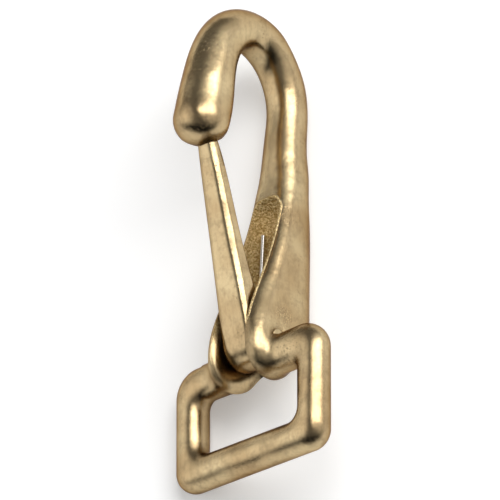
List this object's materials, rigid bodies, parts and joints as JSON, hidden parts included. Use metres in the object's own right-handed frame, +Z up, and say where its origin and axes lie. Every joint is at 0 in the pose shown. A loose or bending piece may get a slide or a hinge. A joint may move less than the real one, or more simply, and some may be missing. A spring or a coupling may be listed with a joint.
{
  "type": "snap hook",
  "caption": "Cast brass snap hook with a fixed rectangular strap loop and a sprung, hinged gate, lying at rest",
  "frame": {"origin": "middle of the bounding box on the surface the hook lies on", "axes": "+Z up from the surface, +Y along the hook from its strap loop to its crown, +X completes the frame; the hook lies rolled onto the back of its shank and one corner of its loop"},
  "size_m": [0.026, 0.0726, 0.0224],
  "materials": {
    "cast_brass": "satin to polished, worn, with cast texture in the recesses",
    "gate_brass": "satin to polished, worn, with cast texture in the recesses",
    "pin_brass": null,
    "spring_steel": "bright wire; the material is a guess"
  },
  "bodies": {
    "hook": {"hook_body": "cast_brass", "pivot_pin": "pin_brass", "spring": "spring_steel"},
    "gate": {"gate": "gate_brass"}
  },
  "joints": [
    {"name": "gate_hinge", "type": "hinge", "parent": "hook", "child": "gate", "pos_m": [-0.00016, -0.01656, 0.00935], "axis": [-0.8472, 0, -0.5313], "range_deg": [0, 20], "stiffness_Nm_per_rad": 0.05, "springref_deg": -28.65, "deforming": ["spring"]}
  ]
}
